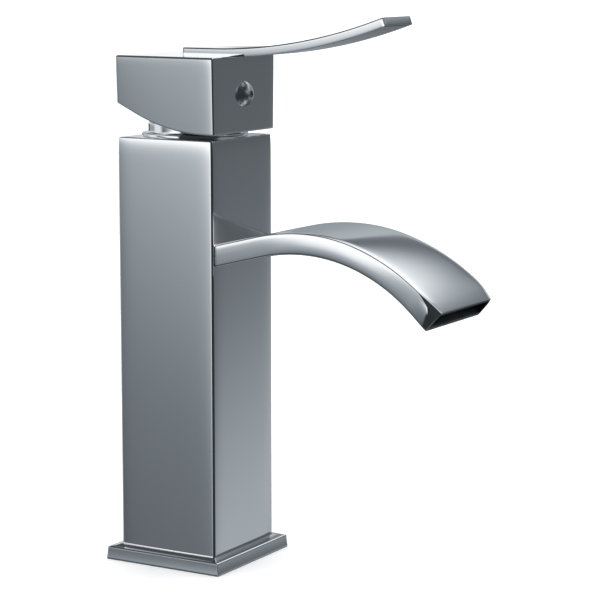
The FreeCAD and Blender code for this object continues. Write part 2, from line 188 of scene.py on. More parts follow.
# ---- column ---------------------------------------------------------------------
H, Z0, Z1 = 22.5, 6.0, 172.0
TOP_R, TOP_EDGE, TOP_REACH = 0.5, 0.2, 2.5
col = Shape()
al = math.atan(TOP_EDGE / TOP_REACH)
hc, zc = H - TOP_EDGE - TOP_R * math.cos(al), Z1 - TOP_R
ze = zc + TOP_R * math.sin(al)
SKIN = dict(edge=0.15, reach=2.6, crown=0.05)


def column_loop(h, z, r=1.0):
    return square(h, r, z, **SKIN)


loops = [column_loop(H - 0.08 * (1 - math.sin(t)), Z0 + 0.08 * (1 - math.cos(t)))
         for t in steps(0, math.pi / 2, 4)]
heights = steps(Z0 + 0.5, ze - 18, 60) + [
    ze - d for d in (16, 14, 12, 10.4, 9, 7.8, 6.7, 5.8, 5, 4.3, 3.7, 3.1, 2.6, 2.1, 1.7, 1.3, 1.0, 0.7, 0.4, 0.2, 0)
]
for z in heights:
    loops.append(column_loop(H - TOP_EDGE * math.exp(-(ze - z) / TOP_REACH), z))
for t in steps(al, math.pi / 2, 9)[1:]:
    d = TOP_R * (math.cos(al) - math.cos(t))
    loops.append(column_loop(hc + TOP_R * math.cos(t), zc + TOP_R * math.sin(t), max(0.12, 1.0 - d)))
loops.append(square(20.6, 0.12, Z1))
bore = [(19.0, Z1), (19.0, Z1 - 0.6), (19.0, 163.2), (18.9, 163.0), (17.9, 163.0), (17.9, 162.6), (17.9, 134.3), (17.6, 134.0)]
loops += [round_loop(loops[-1], r, z) for r, z in bore]
rows = col.loft(loops)
col.fan(rows[-1], (0, 0, 134.0))
inner = [
    square(20.5, 3.0, Z0), square(20.5, 3.0, Z0 - 0.3), square(20.5, 3.0, 0.9), square(20.1, 2.8, 0.5),
    square(18.8, 3.0, 0.5), square(18.5, 3.0, 0.8), square(18.5, 3.0, 40), square(18.5, 3.0, 104.0),
]
rows = col.loft([loops[0]] + inner)
holes = []
for s in (-1, 1):
    ring = [circle(r, z, 40, 0, 11.0 * s) for r, z in ((5.0, 104.0), (4.5, 104.5), (4.5, 117.6), (4.2, 118.0))]
    got = col.loft(ring)
    col.fan(got[-1], (0, 11.0 * s, 118.0))
    holes.append(got[0])
col.plate([rows[-1]] + holes)
# bridge across the hose cavity, with the blind hole for the fixing stud
rib = [[(x * 18.6, y * 6.0, z) for x, y in ((-1, -1), (1, -1), (1, 1), (-1, 1))] for z in (0.5, 20.0)]
rr = col.loft(rib)
col.plate([rr[1]])
stud = col.loft([circle(r, z) for r, z in ((4.0, 0.5), (3.4, 1.1), (3.4, 16.0))])
col.fan(stud[-1], (0, 0, 17.6))
col.plate([rr[0], stud[0]])
column = col.make("column_shell")

# ---- foot plate -----------------------------------------------------------------
base = Shape()
EDGE_BENDS = [(85.5, 62.0, 0.42, 5), (62.0, 34.0, 0.42, 6), (34.0, 8.0, 0.08, 5), (8.0, 1.2, 0.12, 2)]


def foot_loop(h, z, r=0.25, crown=0.06):
    """Loop round the foot plate; the faces across the spout's line lean in a little more."""
    return [(x * (1 - 0.00184 * z), y, z) for x, y, z in square(h, r, z, crown=crown)]


ring = []
for d, z in (
    (0.02, 6.0), (0.3, 5.91), (0.7, 5.8), (1.2, 5.675), (1.8, 5.54), (2.3, 5.44), (2.6, 5.395), (3.0, 5.361), (3.5, 5.322),
):
    ring.append(square(H + d, 0.4, z))
h, z = H + 3.5, 5.322
for a0, a1, length, n in EDGE_BENDS:
    for i in range(n):
        t = math.radians(a0 + (a1 - a0) * (i + 0.5) / n)
        h += math.sin(t) * length / n
        z -= math.cos(t) * length / n
        ring.append(foot_loop(h, z))
SIDE, side_z = h, z
for u in (0.3, 0.7, 1.1, 1.5, 1.9, 2.3, 2.7, 3.1, 3.5, 3.8, 4.1):
    ring.append(foot_loop(SIDE + 0.0209 * u + 0.0075 * u * u, side_z - u))
foot_h = SIDE + 0.0209 * 4.1 + 0.0075 * 4.1 * 4.1
for z, dh in ((0.4, 0.01), (0.25, 0.05), (0.12, 0.12), (0.04, 0.22), (0.0, 0.4)):
    ring.append(foot_loop(foot_h - dh, z))
for h, z, r in (
    (25.1, 0.0, 1.5), (25.0, 0.1, 1.5), (25.0, 1.5, 1.5), (22.5, 1.5, 1.5), (22.5, 0.1, 1.5), (22.4, 0.0, 1.5),
    (20.9, 0.0, 3.0), (20.55, 0.3, 3.0), (20.55, 5.9, 3.0), (20.65, 6.0, 3.0),
):
    ring.append(square(h, r, z))
base.loft(ring, closed_path=True)
foot = base.make("foot_plate")

# ---- spout ----------------------------------------------------------------------
CX, CZ, SR, ST, GROW, RAMP, TIP = 62.0, 56.8, 82.0, 8.6, 1.74, math.radians(14.1), math.radians(47.0)
LX, LZ, LOW = CX - GROW * math.sin(RAMP), CZ + GROW * math.cos(RAMP), SR - ST - GROW
LEAD = math.radians(2.0)
FRONT = 22.5
FLAT = [0.0, 0.1, 0.2, 0.3, 0.4, 0.5, 0.58, 0.66, 0.73, 0.79, 0.84, 0.88, 0.915, 0.945, 0.97, 0.985]
DROP = 0.34


def section(flank, bevel):
    """The spout's long side, from the edge of its top face round to its lower face, as
    (inset from the widest point, share of the thickness). flank gives the angle of the
    surface normal above the horizon at five depths, bevel the width of the edge's bevel."""
    a, b, c, d, e = flank
    bends = [
        (86.0, 85.5, 0.9, 4), (85.5, 84.0, 0.7, 4), (84.0, 80.5, 0.5, 4), (80.5, 36.0, 0.22, 8), (36.0, 22.0, bevel, 6), (22.0, a, 0.13, 5),
        (a, b, 1.2, 6), (b, c, 2.2, 9), (c, d, 1.9, 9), (d, e, 1.2, 6), (e, -86.0, 1.3, 14), (-86.0, -90.0, 0.4, 3),
    ]
    pts, out, down = [(0.0, 0.0)], 0.0, 0.0
    for a0, a1, length, n in bends:
        for i in range(n):
            t = math.radians(a0 + (a1 - a0) * (i + 0.5) / n)
            out += math.sin(t) * length / n
            down += math.cos(t) * length / n
            pts.append((out, down))
    widest = max(q[0] for q in pts)
    return [(widest - o, (DROP + d * (ST - DROP) / down) / ST) for o, d in pts]


FULL = section((9.0, 5.4, 3.1, -0.2, -3.2), 0.16)
ROOT = section((7.0, 1.9, -0.25, -1.0, -1.9), 0.2)
PLAIN = section((0.5, -0.2, -1.2, -2.1, -3.8), 0.12)
MOUTH = section((-2.0, -3.0, -3.6, -4.2, -5.0), 2.2)


def smooth(x, a, b):
    k = min(1.0, max(0.0, (x - a) / (b - a)))
    return k * k * (3 - 2 * k)


def crown_drop(deg):
    """Depth of the top face's crown, deepest over the fall of the arch."""
    return DROP * (0.3 + 0.7 * smooth(deg, 8.0, 24.0) * (1 - smooth(deg, 36.0, 44.0)))


def spout_half(x):
    """Half width: a flare that grows faster over the arch."""
    k = (x - FRONT) / 99.5
    return 21.4 + 0.5 * k + 3.6 * max(0.0, k - 0.3) ** 1.7


def spout_profile(w, deg, shrink=0.0):
    """Closed list of (y, share of the thickness) round the section at an angle on the arch."""
    root, end = 1 - smooth(deg, -17.0, 5.0), smooth(deg, 38.5, 45.0)
    plain = smooth(deg, 15.0, 41.0) * (1 - end)
    mix = (1 - root - plain - end, root, plain, end)
    edge = [tuple(sum(m * c for m, c in zip(mix, k)) for k in zip(*q)) for q in zip(FULL, ROOT, PLAIN, MOUTH)]
    drop = crown_drop(deg) / ST
    half = [(f * (w - edge[0][0]), drop * (0.85 * f**2 + 0.15 * math.exp((f - 1) * 12.0))) for f in FLAT]
    half += [(w - i, 1 - (1 - v) * (1 - drop) / (1 - DROP / ST)) for i, v in edge]
    half += [(f * (w - edge[-1][0]), 1.0) for f in reversed(FLAT)]
    if shrink:
        k, m = 1 - shrink / w, 1 - 2 * shrink / ST
        half = [(y * k, 0.5 + (v - 0.5) * m) for y, v in half]
    left = [(-y, v) for y, v in half]
    right = [(y, v) for y, v in reversed(half)]
    return left + right[1:-1]


def on_ramp(share, v):
    """Point on the straight root; v runs from the top face to the lower one."""
    out = []
    for cx, cz, r in ((CX, CZ, SR), (LX, LZ, LOW)):
        xe, z_end = cx - r * math.sin(RAMP), cz + r * math.cos(RAMP)
        x = FRONT + share * (xe - FRONT)
        out.append((x, z_end - (xe - x) * math.tan(RAMP)))
    (xa, za), (xb, zb) = out
    return xa + (xb - xa) * v, za + (zb - za) * v


def on_arch(t, v):
    k = (t + RAMP) / (TIP + RAMP)
    xa, za = CX + SR * math.sin(t), CZ + SR * math.cos(t)
    u = t + LEAD * k
    xb, zb = LX + LOW * math.sin(u), LZ + LOW * math.cos(u)
    return xa + (xb - xa) * v, za + (zb - za) * v


def nip(t, v):
    """How far the sides are bent in just before the mouth."""
    v = min(1.0, max(0.0, v))
    at, reach, soft = (TIP - t) * SR, 2.1 + 6.4 * math.exp(-max(v, 0.2) / 0.3), 0.8 + 4.0 * v
    start, total, n = reach + 7.0, 0.0, 28
    if at >= start:
        return 0.0
    for i in range(n):
        g = at + (start - at) * (i + 0.5) / n
        slope = 12.0 * (1 - smooth(g, reach - 0.4 * soft, reach + 0.6 * soft)) + 4.0 * (1 - smooth(g, reach, reach + 6.0))
        total += math.tan(math.radians(slope)) * (start - at) / n
    return total


spt = Shape()
loops = []
for share, shrink in ((0.0, 0.42), (0.0035, 0.2), (0.008, 0.09), (0.014, 0.03), (0.022, 0.0)):
    loops.append([(on_ramp(share, v)[0], y, on_ramp(share, v)[1]) for y, v in spout_profile(spout_half(FRONT), -20, shrink)])
for share in steps(0.06, 0.98, 14):
    x = FRONT + share * 20
    loops.append([(on_ramp(share, v)[0], y, on_ramp(share, v)[1]) for y, v in spout_profile(spout_half(x), -17 + 2.9 * share)])


def arch_loop(t, shrink=0.0):
    w = spout_half(CX + SR * math.sin(t))
    out = []
    for y, v in spout_profile(w, math.degrees(t), shrink):
        x, z = on_arch(t, v)
        out.append((x, y * (1 - nip(t, v) / w), z))
    return out


NEAR_TIP = TIP - 0.15
for t in steps(-RAMP, NEAR_TIP, 80)[:-1] + steps(NEAR_TIP, TIP - 0.003, 56):
    loops.append(arch_loop(t))
for d, shrink in ((0.0021, 0.012), (0.0013, 0.04), (0.0006, 0.08), (0.0, 0.15)):
    loops.append(arch_loop(TIP - d, shrink))
WALL = 1.3


def inner_loop(t, wall=WALL):
    w = spout_half(CX + SR * math.sin(t))
    out = []
    for y, v in spout_profile(w, 45.0):
        lim = w - wall - nip(t, v)
        x, z = on_arch(t, min(max(v, wall / ST), 1 - wall / ST))
        out.append((x, max(-lim, min(lim, y)), z))
    return out


def middle(loop):
    return tuple(sum(q[k] for q in loop) / len(loop) for k in range(3))


rows = spt.loft(loops)
spt.fan(rows[0], middle(loops[0]))
spt.loft([loops[-1], inner_loop(TIP, WALL - 0.03), inner_loop(TIP - 0.0005, WALL)])
inside = [inner_loop(t) for t in steps(TIP - 0.0005, -RAMP + 0.05, 40)]
rows = spt.loft(inside, mat=1)
spt.fan(rows[-1], middle(inside[-1]), mat=1)
spout = spt.make("spout_shell")

# ---- trim ring ------------------------------------------------------------------
trm = Shape()
prof = [(17.0, 172.0), (20.6, 172.0)]
prof += [(20.95, 172.0), (21.12, 172.05), (21.18, 172.16), (21.18, 172.6), (21.18, 173.1), (21.16, 173.22), (21.1, 173.35), (20.99, 173.47), (20.84, 173.55), (20.65, 173.59)]
prof += [(20.4, 173.6), (19.4, 173.6), (18.95, 173.63), (18.78, 173.72), (18.68, 173.9), (18.65, 174.2), (18.65, 175.0), (18.65, 176.2), (18.62, 176.9)]
for t in steps(0.0, 1.0, 14):
    prof.append((18.6 - 9.4 * t**1.25, 177.2 + 4.8 * (1 - (1 - t) ** 1.9)))
prof += [(9.2, 181.6), (9.2, 180.8), (14.1, 179.0), (17.0, 176.9)]
trm.loft(turn(prof), closed_path=True)
ring_ob = trm.make("trim_ring_shell")

# ---- handle block ---------------------------------------------------------------
blk = Shape()
KZ0, KZ1, REAR, SLANT, CURVE = 174.2, 204.2, 185.8, math.radians(24.7), 80.0
KW = 23.3
meet = -KW + (REAR - KZ0) / math.tan(SLANT)
tl = CURVE * math.tan(SLANT / 2)
XA, XB = meet - tl * math.cos(SLANT), meet + tl


def under(x):
    """Height of the block's underside."""
    if x >= XB:
        return KZ0
    if x <= XA:
        return REAR - (x + KW) * math.tan(SLANT)
    return KZ0 + CURVE - math.sqrt(CURVE**2 - (x - XB) ** 2)


B_EDGE, B_REACH, B_CROWN, B_R, B_TOP = 0.17, 2.2, 0.01, 0.7, 0.45
TB_EDGE, TB_REACH, BEVEL_Z = 0.05, 1.5, 203.45
TAPER, DRAFT = 2 * math.tan(math.radians(1.25)), math.tan(math.radians(1.2))
b_tilt = math.atan(TB_EDGE / TB_REACH)


def block_loop(h, z, r=B_R, height=KZ1):
    """Loop round the block; its two long sides close in towards the rear and the foot."""
    lp = square(h, r, 0.0, edge=B_EDGE, reach=B_REACH, crown=B_CROWN)
    low = 1 - DRAFT * (KZ1 - height) / KW
    low -= 0.577 * max(0.0, (height if callable(z) else z) - BEVEL_Z) / KW
    out = []
    for x, y, _ in lp:
        fill = B_EDGE * math.exp(-(h - r + x) / B_REACH) * min(1.0, max(0.0, abs(y) - abs(x))) if x < 0 and h > 22 else 0.0
        y *= (1 + 0.85 * fill / KW) * low * (1 - TAPER * (KW - x) / (2 * KW))
        out.append((x, y, z(x) if callable(z) else z))
    return out


loops = []
KH = KW - 0.02
for t in steps(0, math.pi / 2, 5):
    loops.append(block_loop(KH - 0.2 * (1 - math.sin(t)), lambda x, t=t: under(x) + 0.2 * (1 - math.cos(t)), height=KZ0))
bz = KZ1 - B_TOP + B_TOP * math.sin(b_tilt)
for k in (0.02, 0.05, 0.09, 0.14, 0.2, 0.27, 0.35, 0.43, 0.51, 0.59, 0.67, 0.74, 0.8, 0.845, 0.88, 0.91, 0.935, 0.955, 0.97, 0.982, 0.9877, 0.9893, 0.991, 0.9931, 1.0):
    zm = KZ0 + (bz - KZ0) * k
    h = KH - TB_EDGE * math.exp(-(bz - zm) / TB_REACH)
    loops.append(block_loop(h, lambda x, k=k: (under(x) + 0.22) + (bz - under(x) - 0.22) * k, height=zm))
hb = KH - TB_EDGE - B_TOP * math.cos(b_tilt)
for t in steps(b_tilt, math.pi / 2, 8)[1:]:
    d = B_TOP * (math.cos(b_tilt) - math.cos(t))
    loops.append(block_loop(hb + B_TOP * math.cos(t), KZ1 - B_TOP + B_TOP * math.sin(t), max(0.1, B_R - d)))
top_rows = [block_loop(h, KZ1, 0.1) for h in (21.4, 18.0, 14.0, 9.0, 4.0)]
rows = blk.loft(loops + top_rows)
blk.fan(rows[-1], (0, 0, KZ1))
# underside rim and the domed hollow that clears the trim ring
PZ, HOLLOW, ROOF = 168.0, 21.5, 186.0
rim, low = [], loops[0]
for x, y, z in low:
    a = math.atan2(y, x)
    ca, sa = math.cos(a), math.sin(a)
    lo, hi = 5.0, math.hypot(x, y) - 0.4
    for _ in range(50):
        m = (lo + hi) / 2
        if m * m + (under(m * ca) - PZ) ** 2 < HOLLOW**2:
            lo = m
        else:
            hi = m
    rim.append((lo * ca, lo * sa, under(lo * ca)))
sphere = [rim]
for k in steps(0, 1, 14)[1:]:
    row = []
    for x, y, z in rim:
        a = math.atan2(y, x)
        e0, e1 = math.asin((z - PZ) / HOLLOW), math.asin((ROOF - PZ) / HOLLOW)
        e = e0 + (e1 - e0) * k
        row.append((HOLLOW * math.cos(e) * math.cos(a), HOLLOW * math.cos(e) * math.sin(a), PZ + HOLLOW * math.sin(e)))
    sphere.append(row)
rows = blk.loft([low] + sphere)
lean = math.radians(12.0)


def leaned(u, v, w):
    return (u * math.cos(lean) + w * math.sin(lean), v, PZ - u * math.sin(lean) + w * math.cos(lean))


def roof_point(u, v):
    """Where a line of the leaned square socket meets the roof."""
    w = (ROOF - PZ + u * math.sin(lean)) / math.cos(lean)
    return leaned(u, v, w)


corners = [(-4.05, -4.05), (4.05, -4.05), (4.05, 4.05), (-4.05, 4.05)]
sock = blk.loft([[roof_point(u, v) for u, v in corners], [leaned(u, v, 29.8) for u, v in corners]])
blk.plate([sock[1]])
blk.plate([rows[-1], sock[0]])
block = blk.make("handle_block_shell")

# ---- lever ----------------------------------------------------------------------
lev = Shape()
LW, LT, LTOP, LX0, LX1, LR, LEND = 11.0, 3.5, 207.4, 1.4, 16.0, 220.0, math.radians(19.9)


def lever_profile(shrink=0.0):
    bends = [
        (88.0, 62.0, 0.22, 4), (62.0, 36.0, 0.14, 4), (36.0, 22.0, 0.42, 5), (22.0, 0.0, 0.12, 5), (0.0, -1.7, 2.0, 8),
        (-1.7, -3.0, 0.4, 4), (-3.0, -5.5, 0.35, 4), (-5.5, -80.0, 0.24, 8), (-80.0, -88.0, 0.1, 2),
    ]
    pts, out, down = [(0.0, 0.0)], 0.0, 0.0
    for a0, a1, length, n in bends:
        for i in range(n):
            a = math.radians(a0 + (a1 - a0) * (i + 0.5) / n)
            out += math.sin(a) * length / n
            down += math.cos(a) * length / n
            pts.append((out, down))
    widest = max(p[0] for p in pts)
    k = LT / down
    edge = [(LW - widest + o, d * k) for o, d in pts]
    half = [(f * edge[0][0], 0.0) for f in FLAT] + edge + [(f * edge[-1][0], LT) for f in reversed(FLAT)]
    if shrink:
        half = [(y * (1 - shrink / LW), LT / 2 + (q - LT / 2) * (1 - 2 * shrink / LT)) for y, q in half]
    return [(-y, q) for y, q in half] + [(y, q) for y, q in reversed(half)][1:-1]


def lever_loop(t, shrink=0.0):
    """t below 0 lies on the flat part, in millimetres; above 0 on the curve, in radians."""
    out = []
    for y, q in lever_profile(shrink):
        if t <= 0:
            out.append((LX1 + t, y, LTOP - q))
        else:
            r = LR + q
            out.append((LX1 + r * math.sin(t), y, LTOP + LR - r * math.cos(t)))
    return out


flat_len = LX1 - LX0
loops = [lever_loop(-flat_len + d, s) for d, s in ((0.0, 0.35), (0.06, 0.2), (0.16, 0.08), (0.3, 0.0))]
loops += [lever_loop(-flat_len + d) for d in (1, 3, 6, 9, 12, flat_len)]
loops += [lever_loop(t) for t in steps(0, LEND - 0.0016, 70)[1:]]
loops += [lever_loop(LEND - d, s) for d, s in ((0.0012, 0.03), (0.0007, 0.08), (0.0004, 0.14), (0.00024, 0.22))]
loops += [lever_loop(LEND - 0.0002 * (1 - s / 1.7) ** 2, s) for s in (0.4, 0.65, 0.9, 1.15, 1.4, 1.65)]
rows = lev.loft(loops)
for row, lp in ((rows[0], loops[0]), (rows[-1], loops[-1])):
    n = len(lp)
    lev.fan(row, tuple(sum(p[k] for p in lp) / n for k in range(3)))
lever = lev.make("lever_shell")

# ---- handle screw ---------------------------------------------------------------
scw = Shape()
SZ, HR, HH, HEX, NS = 189.2, 5.2, 3.4, 2.5, 96


def face_loop(radius, out, hexed=0.0):
    pts = []
    for i in range(NS):
        a = 2 * math.pi * i / NS
        r = radius
        if hexed:
            k = (a % (math.pi / 3)) - math.pi / 6
            r = radius * (1 - hexed) + hexed * radius / math.cos(k) * 1.0
        pts.append((KW - 0.3 + out, r * math.cos(a), SZ + r * math.sin(a)))
    return pts


dome_r = (HR**2 + HH**2) / (2 * HH)
top = HH + 0.3
dome_c = top - dome_r


def dome_at(r):
    return dome_c + math.sqrt(dome_r**2 - r**2)


loops = [face_loop(3.0, -9.0), face_loop(3.0, 0.0), face_loop(HR - 0.02, 0.0), face_loop(HR - 0.02, 0.2)]
for k in steps(math.asin((0.3 - dome_c) / dome_r), math.acos(2.1 / dome_r), 24):
    loops.append(face_loop(dome_r * math.cos(k), dome_c + dome_r * math.sin(k)))
lip = dome_at(HEX / 2)
loops += [face_loop(1.75, dome_at(1.8), 0.3), face_loop(1.45, dome_at(1.5), 0.8), face_loop(1.34, lip - 0.03, 1.0), face_loop(HEX / 2, lip - 0.15, 1.0)]
loops += [face_loop(HEX / 2, top - 1.0, 1.0), face_loop(HEX / 2 - 0.04, top - 1.85, 1.0), face_loop(1.0, top - 1.95, 0.0)]
rows = scw.loft(loops)
scw.fan(rows[-1], (KW - 0.3 + top - 2.0, 0, SZ))
scw.fan(rows[0], (KW - 9.6, 0, SZ))
screw = scw.make("handle_screw_shell", 36)

for ob, node, body in (
    (column, "column_body", "body"),
    (foot, "base_plate", "body"),
    (spout, "spout", "body"),
    (ring_ob, "trim_ring", "body"),
    (block, "handle_block", "handle"),
    (lever, "lever_blade", "handle"),
    (screw, "handle_screw", "handle"),
):
    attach(ob, body)
    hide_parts(node)


# ---- materials ------------------------------------------------------------------
class Graph:
    """Small helper to build a material's node tree."""

    def __init__(self, name):
        self.mat = bpy.data.materials.new(name)
        self.mat.use_nodes = True
        self.t = self.mat.node_tree
        self.t.nodes.clear()
        self.out = self.t.nodes.new("ShaderNodeOutputMaterial")
        self.bsdf = self.t.nodes.new("ShaderNodeBsdfPrincipled")
        self.t.links.new(self.bsdf.outputs[0], self.out.inputs["Surface"])
        self.coord = self.t.nodes.new("ShaderNodeTexCoord").outputs["Object"]

    def node(self, kind, **props):
        n = self.t.nodes.new(kind)
        for k, v in props.items():
            setattr(n, k, v)
        return n

    def link(self, a, b):
        self.t.links.new(a, b)

    def noise(self, scale, detail=3.0, rough=0.55, stretch=None):
        n = self.node("ShaderNodeTexNoise")
        n.inputs["Scale"].default_value = scale
        n.inputs["Detail"].default_value = detail
        n.inputs["Roughness"].default_value = rough
        src = self.coord
        if stretch:
            m = self.node("ShaderNodeMapping")
            m.inputs["Scale"].default_value = stretch
            self.link(src, m.inputs["Vector"])
            src = m.outputs[0]
        self.link(src, n.inputs["Vector"])
        return n.outputs["Fac"]

    def span(self, src, a, b, lo, hi):
        n = self.node("ShaderNodeMapRange")
        n.inputs["From Min"].default_value = a
        n.inputs["From Max"].default_value = b
        n.inputs["To Min"].default_value = lo
        n.inputs["To Max"].default_value = hi
        self.link(src, n.inputs["Value"])
        return n.outputs[0]

    def math(self, op, a, b):
        n = self.node("ShaderNodeMath", operation=op)
        for i, s in enumerate((a, b)):
            if isinstance(s, (int, float)):
                n.inputs[i].default_value = s
            else:
                self.link(s, n.inputs[i])
        return n.outputs[0]

    def ramp(self, src, stops):
        n = self.node("ShaderNodeValToRGB")
        e = n.color_ramp.elements
        while len(e) < len(stops):
            e.new(0.5)
        for s, (pos, c) in zip(e, stops):
            s.position, s.color = pos, (*c, 1)
        self.link(src, n.inputs["Fac"])
        return n.outputs["Color"]

    def bump(self, src, strength, distance):
        n = self.node("ShaderNodeBump")
        n.inputs["Strength"].default_value = strength
        n.inputs["Distance"].default_value = distance
        self.link(src, n.inputs["Height"])
        self.link(n.outputs[0], self.bsdf.inputs["Normal"])

    def set(self, **v):
        for k, x in v.items():
            self.bsdf.inputs[k.replace("_", " ")].default_value = x


def chrome():
    """Polished chrome: slow sheen changes, fine polishing lines, softer worn edges."""
    g = Graph("chrome_polished")
    g.set(Metallic=1.0)
    slow = g.noise(38, 3, 0.5)
    lines = g.noise(1.0, 3, 0.6, (2600, 2600, 60))
    film = g.noise(150, 5, 0.65)
    worn = g.span(g.node("ShaderNodeNewGeometry").outputs["Pointiness"], 0.53, 0.6, 0.0, 0.02)
    rough = g.math("ADD", g.span(slow, 0.3, 0.7, 0.052, 0.074), g.span(lines, 0.35, 0.75, -0.004, 0.008))
    rough = g.math("ADD", rough, g.span(film, 0.55, 0.8, 0.0, 0.018))
    g.link(g.math("ADD", rough, worn), g.bsdf.inputs["Roughness"])
    g.link(g.ramp(g.noise(22, 4, 0.6), [(0.3, (0.915, 0.925, 0.935)), (0.7, (0.945, 0.95, 0.955))]), g.bsdf.inputs["Base Color"])
    g.bump(g.noise(420, 4, 0.6), 0.05, 0.00004)
    return g.mat


def satin_chrome():
    """Chrome over a turned, unpolished screw head: a soft sheen with fine turning marks."""
    g = Graph("chrome_satin")
    g.set(Metallic=1.0)
    marks = g.noise(1.0, 3, 0.6, (5200, 900, 900))
    g.link(g.ramp(g.noise(160, 4, 0.6), [(0.3, (0.86, 0.87, 0.88)), (0.7, (0.91, 0.915, 0.92))]), g.bsdf.inputs["Base Color"])
    g.link(g.span(marks, 0.3, 0.7, 0.24, 0.34), g.bsdf.inputs["Roughness"])
    g.bump(marks, 0.06, 0.00003)
    return g.mat


def inner_wall_painted_shade():
    """Unpolished inner wall of the spout; its colour is darkened as painted shade inside the mouth."""
    g = Graph("spout_inner_wall_painted_shade")
    g.set(Metallic=1.0)
    # dark grey base colour: painted shade inside the spout, standing in for the shade that falls down the tube
    g.link(g.ramp(g.noise(180, 4, 0.6), [(0.3, (0.3, 0.32, 0.33)), (0.75, (0.42, 0.44, 0.45))]), g.bsdf.inputs["Base Color"])
    g.link(g.span(g.noise(320, 4), 0.3, 0.7, 0.34, 0.5), g.bsdf.inputs["Roughness"])
    g.bump(g.noise(900, 4), 0.25, 0.0001)
    return g.mat


def metal(name, dark, light, rough, stretch=(900, 900, 900), bump=0.12):
    g = Graph(name)
    g.set(Metallic=1.0)
    lines = g.noise(1.0, 4, 0.6, stretch)
    g.link(g.ramp(g.noise(260, 4), [(0.3, dark), (0.7, light)]), g.bsdf.inputs["Base Color"])
    g.link(g.span(lines, 0.3, 0.7, rough - 0.07, rough + 0.08), g.bsdf.inputs["Roughness"])
    g.bump(lines, bump, 0.00005)
    return g.mat


def moulded(name, dark, light, rough, grain=1400, bump=0.18):
    g = Graph(name)
    fine = g.noise(grain, 4, 0.6)
    g.link(g.ramp(g.noise(120, 4), [(0.3, dark), (0.7, light)]), g.bsdf.inputs["Base Color"])
    g.link(g.span(fine, 0.3, 0.7, rough - 0.08, rough + 0.08), g.bsdf.inputs["Roughness"])
    g.bump(fine, bump, 0.00005)
    return g.mat


CHROME = chrome()
for ob in (column, foot, ring_ob, block, lever):
    ob.data.materials.append(CHROME)
screw.data.materials.append(satin_chrome())
spout.data.materials.append(CHROME)
# second slot: the spout's inner wall, darkened with painted shade
spout.data.materials.append(inner_wall_painted_shade())

BY_SLOT = {
    "chrome": CHROME,
    "brass": metal("brass_turned", (0.55, 0.41, 0.18), (0.72, 0.56, 0.28), 0.3, (700, 700, 5200)),
    "steel": metal("steel_satin", (0.5, 0.5, 0.51), (0.64, 0.64, 0.65), 0.33, (2200, 2200, 900)),
    "rubber": moulded("rubber_black", (0.018, 0.018, 0.02), (0.035, 0.035, 0.037), 0.72, 1800, 0.3),
    "plastic_white": moulded("acetal_white", (0.74, 0.74, 0.7), (0.83, 0.83, 0.8), 0.42),
    "plastic_grey": moulded("nylon_grey", (0.11, 0.114, 0.12), (0.17, 0.175, 0.18), 0.5),
    "plastic_red": moulded("acetal_red", (0.42, 0.03, 0.025), (0.58, 0.05, 0.04), 0.45),
    "ceramic": moulded("alumina_lapped", (0.78, 0.78, 0.76), (0.88, 0.88, 0.86), 0.22, 2600, 0.06),
}
slot_of = {s["node"]: s["material_slot"] for s in frame["record"]["subparts"]}
for name, ob in frame["nodes"].items():
    ob.data.materials.clear()
    ob.data.materials.append(BY_SLOT[slot_of[name]])

# ---- stage ----------------------------------------------------------------------
bm = bmesh.new()
bmesh.ops.create_circle(bm, cap_ends=True, segments=96, radius=60.0)
me = bpy.data.meshes.new("floor")
bm.to_mesh(me)
bm.free()
floor = bpy.data.objects.new("floor", me)
SCENE.collection.objects.link(floor)
g = Graph("floor_pale")
g.link(g.ramp(g.noise(3.0, 2), [(0.3, (0.86, 0.86, 0.865)), (0.7, (0.9, 0.9, 0.9))]), g.bsdf.inputs["Base Color"])
g.set(Roughness=0.9)
g.bsdf.inputs["Specular IOR Level"].default_value = 0.1
g.bsdf.inputs["Emission Color"].default_value = (1.0, 1.0, 1.0, 1.0)
g.bsdf.inputs["Emission Strength"].default_value = 0.16
floor.data.materials.append(g.mat)
floor.visible_glossy = False
floor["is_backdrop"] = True

sun = bpy.data.lights.new("overhead", "SUN")
sun.energy, sun.angle = 3.6, math.radians(120)
sun_ob = bpy.data.objects.new("overhead", sun)
sun_ob.visible_glossy = False
SCENE.collection.objects.link(sun_ob)


# ---- studio surroundings: soft bands of light by height, in broad sectors -------------
def tone(v):
    """Cool in the shadows, neutral in the lights."""
    k = min(1.0, max(0.0, (v - 0.12) / 0.8))
    return (v * (0.885 + 0.095 * k), v, v * (1.09 - 0.075 * k))


world = bpy.data.worlds.new("studio")
SCENE.world = world
world.use_nodes = True
wt = world.node_tree
wt.nodes.clear()
w_out = wt.nodes.new("ShaderNodeOutputWorld")
w_bg = wt.nodes.new("ShaderNodeBackground")
wt.links.new(w_bg.outputs[0], w_out.inputs["Surface"])
w_dir = wt.nodes.new("ShaderNodeTexCoord").outputs["Generated"]


def w_math(op, a, b=None):
    n = wt.nodes.new("ShaderNodeMath")
    n.operation = op
    for i, s in enumerate((a, b)):
        if s is None:
            continue
        if isinstance(s, (int, float)):
            n.inputs[i].default_value = s
        else:
            wt.links.new(s, n.inputs[i])
    return n.outputs[0]


def w_dot(src, vec):
    n = wt.nodes.new("ShaderNodeVectorMath")
    n.operation = "DOT_PRODUCT"
    wt.links.new(src, n.inputs[0])
    n.inputs[1].default_value = vec
    return n.outputs["Value"]


flat = wt.nodes.new("ShaderNodeVectorMath")
flat.operation = "MULTIPLY"
wt.links.new(w_dir, flat.inputs[0])
flat.inputs[1].default_value = (1, 1, 0)
unit = wt.nodes.new("ShaderNodeVectorMath")
unit.operation = "NORMALIZE"
wt.links.new(flat.outputs[0], unit.inputs[0])
AROUND = unit.outputs[0]


